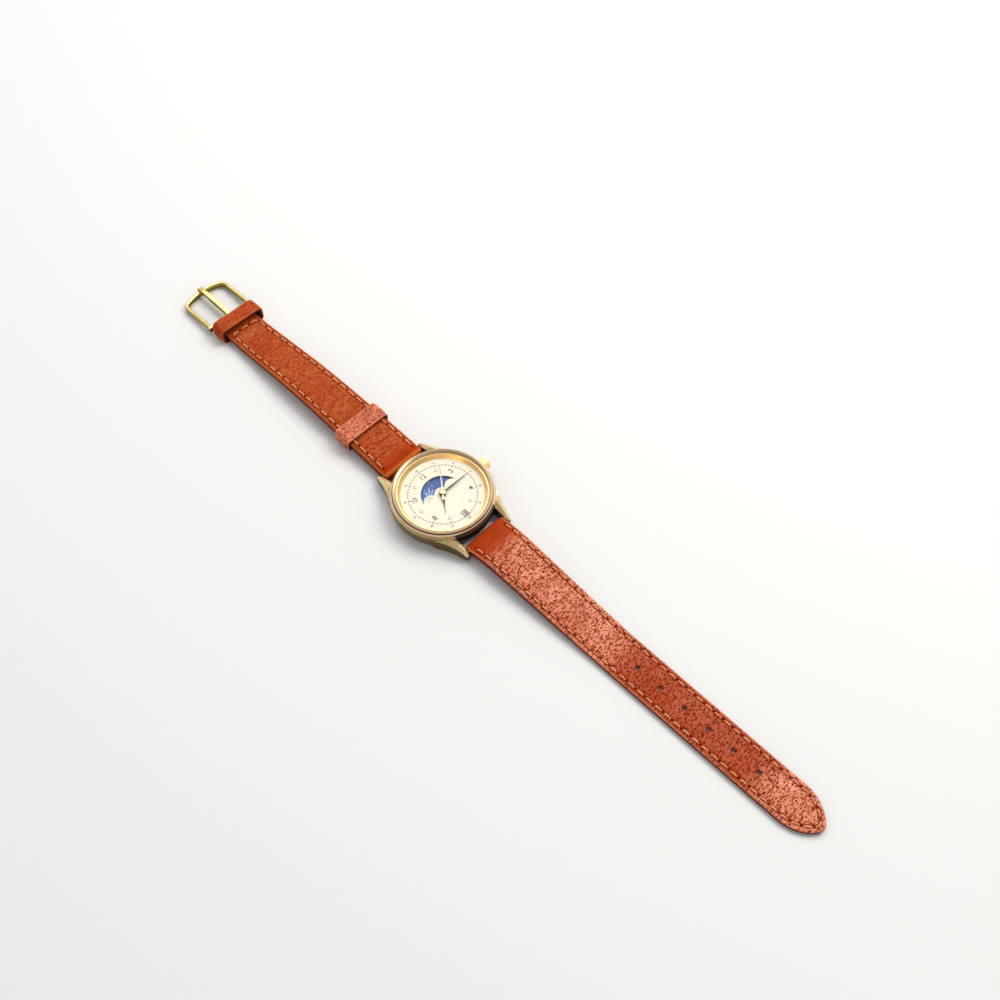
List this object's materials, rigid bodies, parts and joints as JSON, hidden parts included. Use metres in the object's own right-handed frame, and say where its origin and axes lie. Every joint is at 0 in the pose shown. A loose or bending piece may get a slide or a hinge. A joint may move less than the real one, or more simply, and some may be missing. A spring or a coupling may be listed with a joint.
{
  "type": "moon phase watch",
  "caption": "Ladies' quartz wristwatch with a moon phase window, date and leather strap, lying open, with its movement, hands, crown, strap and buckle as moving parts.",
  "frame": {"origin": "middle of the case back's resting face", "axes": "+Z out of the dial, +Y towards 12 o'clock and the buckle, +X towards 3 o'clock and the crown"},
  "size_m": [0.0321, 0.24, 0.0074],
  "materials": {
    "case_gold": "polished",
    "bezel_gold": "polished",
    "buckle_gold": "polished",
    "case_back_steel": "satin",
    "crystal": "polished",
    "dial_cream": "satin",
    "moon_blue": "satin",
    "date_white": "satin",
    "hand_gold": "polished",
    "hand_dark": "satin",
    "hand_pale": "polished",
    "dial_print": "satin",
    "strap_leather": "satin",
    "strap_lining": "matte",
    "strap_thread": "matte",
    "movement_brass": "satin",
    "movement_steel": "satin",
    "movement_plastic": "matte",
    "rubber_black": "matte",
    "coil_copper": "satin",
    "board_green": "matte",
    "battery_steel": "polished"
  },
  "bodies": {
    "case": {"case_middle": "case_gold", "bezel": "bezel_gold", "crystal": "crystal", "crystal_gasket": "movement_plastic", "dial_ring": "case_gold", "dial": "dial_cream", "case_back": "case_back_steel", "back_gasket": "rubber_black", "crown_tube": "movement_steel", "movement_holder": "movement_plastic", "main_plate": "movement_brass", "train_bridge": "movement_steel", "stator": "movement_steel", "coil": "coil_copper", "circuit_board": "board_green", "quartz_can": "movement_steel", "battery": "battery_steel", "battery_clamp": "movement_steel", "movement_screws": "movement_steel", "date_guard": "movement_steel", "date_jumper": "movement_steel", "moon_jumper": "movement_steel", "spring_bar_12": "movement_steel", "spring_bar_6": "movement_steel"},
    "seconds": {"seconds_wheel": "movement_brass", "seconds_hand": "hand_pale"},
    "third": {"third_wheel": "movement_brass"},
    "fifth": {"fifth_wheel": "movement_brass"},
    "rotor": {"rotor": "movement_steel"},
    "centre": {"centre_wheel": "movement_brass"},
    "minutes": {"cannon_pinion": "movement_steel", "minute_hand": "hand_dark"},
    "minute_wheel": {"minute_wheel": "movement_brass"},
    "setting_wheel": {"setting_wheel": "movement_brass"},
    "hours": {"hour_wheel": "movement_brass", "hour_hand": "hand_dark"},
    "day_wheel": {"day_wheel": "movement_brass"},
    "date_drive": {"date_drive_wheel": "movement_brass"},
    "date_ring": {"date_ring": "date_white"},
    "moon_disc": {"moon_disc": "moon_blue"},
    "crown_slide": {"crown_gasket": "rubber_black"},
    "crown": {"crown": "case_gold", "stem": "movement_steel"},
    "sliding_pinion": {"sliding_pinion": "movement_steel"},
    "setting_lever": {"setting_lever": "movement_steel"},
    "strap_short_a": {"strap_short_top_1": "strap_leather", "strap_short_lining_1": "strap_lining"},
    "strap_short_b": {"strap_short_top_2": "strap_leather", "strap_short_lining_2": "strap_lining", "fixed_keeper": "strap_leather"},
    "strap_long_a": {"strap_long_top_1": "strap_leather", "strap_long_lining_1": "strap_lining"},
    "strap_long_b": {"strap_long_top_2": "strap_leather", "strap_long_lining_2": "strap_lining"},
    "strap_long_c": {"strap_long_top_3": "strap_leather", "strap_long_lining_3": "strap_lining"},
    "sliding_keeper": {"sliding_keeper": "strap_leather"},
    "buckle": {"buckle_frame": "buckle_gold", "buckle_pin": "buckle_gold"},
    "tongue": {"buckle_tongue": "buckle_gold"}
  },
  "joints": [
    {"name": "seconds_turn", "type": "hinge", "parent": "case", "child": "seconds", "pos_m": [0, 0, 0.003], "axis": [0, 0, -1], "continuous": true},
    {"name": "third_turn", "type": "hinge", "parent": "case", "child": "third", "pos_m": [0.00167, 0.00214, 0.0015], "axis": [0, 0, -1], "continuous": true},
    {"name": "fifth_turn", "type": "hinge", "parent": "case", "child": "fifth", "pos_m": [-0.00066, -0.00264, 0.0015], "axis": [0, 0, -1], "continuous": true},
    {"name": "rotor_turn", "type": "hinge", "parent": "case", "child": "rotor", "pos_m": [-0.00105, -0.00419, 0.0015], "axis": [0, 0, -1], "continuous": true},
    {"name": "centre_turn", "type": "hinge", "parent": "case", "child": "centre", "pos_m": [0, 0, 0.0018], "axis": [0, 0, -1], "continuous": true},
    {"name": "minute_turn", "type": "hinge", "parent": "case", "child": "minutes", "pos_m": [0, 0, 0.003], "axis": [0, 0, -1], "continuous": true},
    {"name": "minute_wheel_turn", "type": "hinge", "parent": "case", "child": "minute_wheel", "pos_m": [0.0024, 0.00008, 0.003], "axis": [0, 0, -1], "continuous": true},
    {"name": "setting_wheel_turn", "type": "hinge", "parent": "case", "child": "setting_wheel", "pos_m": [0.00485, 0.00095, 0.003], "axis": [0, 0, -1], "continuous": true},
    {"name": "hour_turn", "type": "hinge", "parent": "case", "child": "hours", "pos_m": [0, 0, 0.003], "axis": [0, 0, -1], "continuous": true},
    {"name": "day_wheel_turn", "type": "hinge", "parent": "case", "child": "day_wheel", "pos_m": [-0.00288, 0, 0.003], "axis": [0, 0, -1], "continuous": true},
    {"name": "date_drive_turn", "type": "hinge", "parent": "case", "child": "date_drive", "pos_m": [-0.00357, -0.00378, 0.003], "axis": [0, 0, -1], "continuous": true},
    {"name": "date_ring_turn", "type": "hinge", "parent": "case", "child": "date_ring", "pos_m": [0, 0, 0.0037], "axis": [0, 0, -1], "continuous": true},
    {"name": "moon_disc_turn", "type": "hinge", "parent": "case", "child": "moon_disc", "pos_m": [0, 0, 0.0039], "axis": [0, 0, -1], "continuous": true},
    {"name": "crown_pull", "type": "slide", "parent": "case", "child": "crown_slide", "axis": [1, 0, 0], "range_m": [0, 0.0014]},
    {"name": "crown_turn", "type": "hinge", "parent": "crown_slide", "child": "crown", "pos_m": [0, 0, 0.00255], "axis": [1, 0, 0], "continuous": true},
    {"name": "sliding_pinion_slide", "type": "slide", "parent": "crown", "child": "sliding_pinion", "axis": [1, 0, 0], "range_m": [-0.0021, 0]},
    {"name": "setting_lever_turn", "type": "hinge", "parent": "case", "child": "setting_lever", "pos_m": [0.01, 0.00394, 0.002], "axis": [0, 0, 1], "range_deg": [0, 20.21]},
    {"name": "short_strap_swing", "type": "hinge", "parent": "case", "child": "strap_short_a", "pos_m": [0, 0.0169, 0.0022], "axis": [-1, 0, 0], "range_deg": [-30, 60]},
    {"name": "short_strap_curl", "type": "hinge", "parent": "strap_short_a", "child": "strap_short_b", "pos_m": [0, 0.055, 0.00256], "axis": [-1, 0, 0], "range_deg": [0, 45]},
    {"name": "long_strap_swing", "type": "hinge", "parent": "case", "child": "strap_long_a", "pos_m": [0, -0.0169, 0.0022], "axis": [1, 0, 0], "range_deg": [-30, 60]},
    {"name": "long_strap_curl_1", "type": "hinge", "parent": "strap_long_a", "child": "strap_long_b", "pos_m": [0, -0.049, 0.00063], "axis": [1, 0, 0], "range_deg": [0, 30]},
    {"name": "long_strap_curl_2", "type": "hinge", "parent": "strap_long_b", "child": "strap_long_c", "pos_m": [0, -0.09008, -0.00015], "axis": [1, 0, 0], "range_deg": [0, 30]},
    {"name": "sliding_keeper_slide", "type": "slide", "parent": "strap_short_a", "child": "sliding_keeper", "axis": [0, 0.9991, 0.0414], "range_m": [-0.004, 0.01]},
    {"name": "buckle_swing", "type": "hinge", "parent": "strap_short_b", "child": "buckle", "pos_m": [0, 0.0954, 0.00185], "axis": [1, 0, 0], "range_deg": [-45, 15]},
    {"name": "tongue_lift", "type": "hinge", "parent": "buckle", "child": "tongue", "pos_m": [0, 0.0954, 0.00185], "axis": [1, 0, 0], "range_deg": [0, 75]}
  ],
  "couplings": [
    {"joint": "third_turn", "follows": "seconds_turn", "ratio": -0.13333},
    {"joint": "fifth_turn", "follows": "seconds_turn", "ratio": -7.5},
    {"joint": "rotor_turn", "follows": "seconds_turn", "ratio": 30},
    {"joint": "centre_turn", "follows": "seconds_turn", "ratio": 0.016667},
    {"joint": "minute_wheel_turn", "follows": "minute_turn", "ratio": -0.33333},
    {"joint": "setting_wheel_turn", "follows": "minute_turn", "ratio": 0.75},
    {"joint": "hour_turn", "follows": "minute_turn", "ratio": 0.083333},
    {"joint": "day_wheel_turn", "follows": "minute_turn", "ratio": -0.041667},
    {"joint": "date_drive_turn", "follows": "minute_turn", "ratio": 0.041667},
    {"joint": "sliding_pinion_slide", "follows": "crown_pull", "ratio": -1.5},
    {"joint": "setting_lever_turn", "follows": "crown_pull", "rad_per_m": 251.29}
  ]
}
